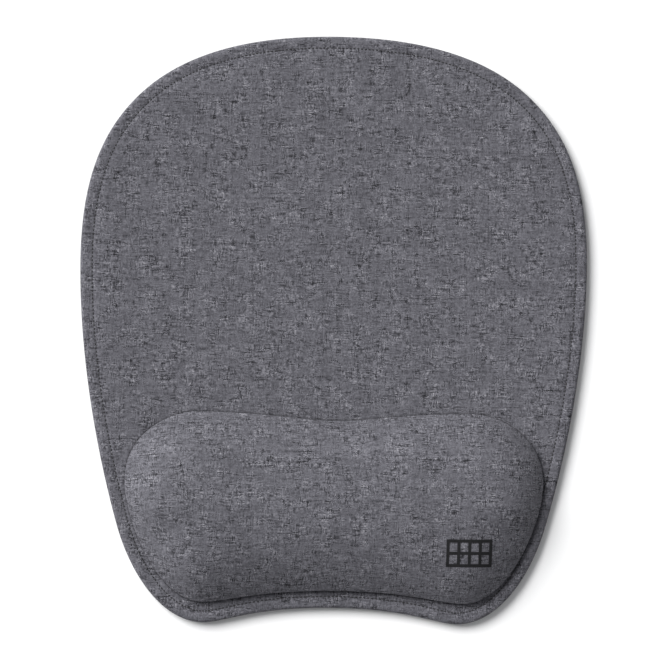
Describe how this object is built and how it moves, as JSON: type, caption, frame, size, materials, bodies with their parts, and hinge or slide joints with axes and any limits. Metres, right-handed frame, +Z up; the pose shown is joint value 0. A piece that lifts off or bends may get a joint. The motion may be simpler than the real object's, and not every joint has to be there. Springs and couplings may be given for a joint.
{
  "type": "mouse mat with wrist rest",
  "caption": "Fabric-covered mouse mat with a domed foam wrist cushion at the front edge, stitched all round over an anti-slip rubber base.",
  "frame": {"origin": "on the desk, under the middle of the mat's outline", "axes": "+X to the user's right, +Y away from the user, +Z up; the wrist cushion is at the -Y end"},
  "size_m": [0.22, 0.254, 0.0217],
  "materials": {
    "melange_fabric": "matte",
    "black_rubber": "matte",
    "mat_sponge": "matte",
    "cushion_foam": "matte",
    "dark_thread": "matte",
    "glue_film": "gloss",
    "dark_print": "matte"
  },
  "bodies": {
    "root": {"anti_slip_base": "black_rubber", "mat_foam_sheet": "mat_sponge", "mat_cover": "melange_fabric", "edge_needle_thread": "dark_thread", "edge_bobbin_thread": "dark_thread", "cushion_glue_film": "glue_film", "cushion_foam": "cushion_foam", "cushion_cover": "melange_fabric", "printed_mark": "dark_print"}
  },
  "joints": []
}
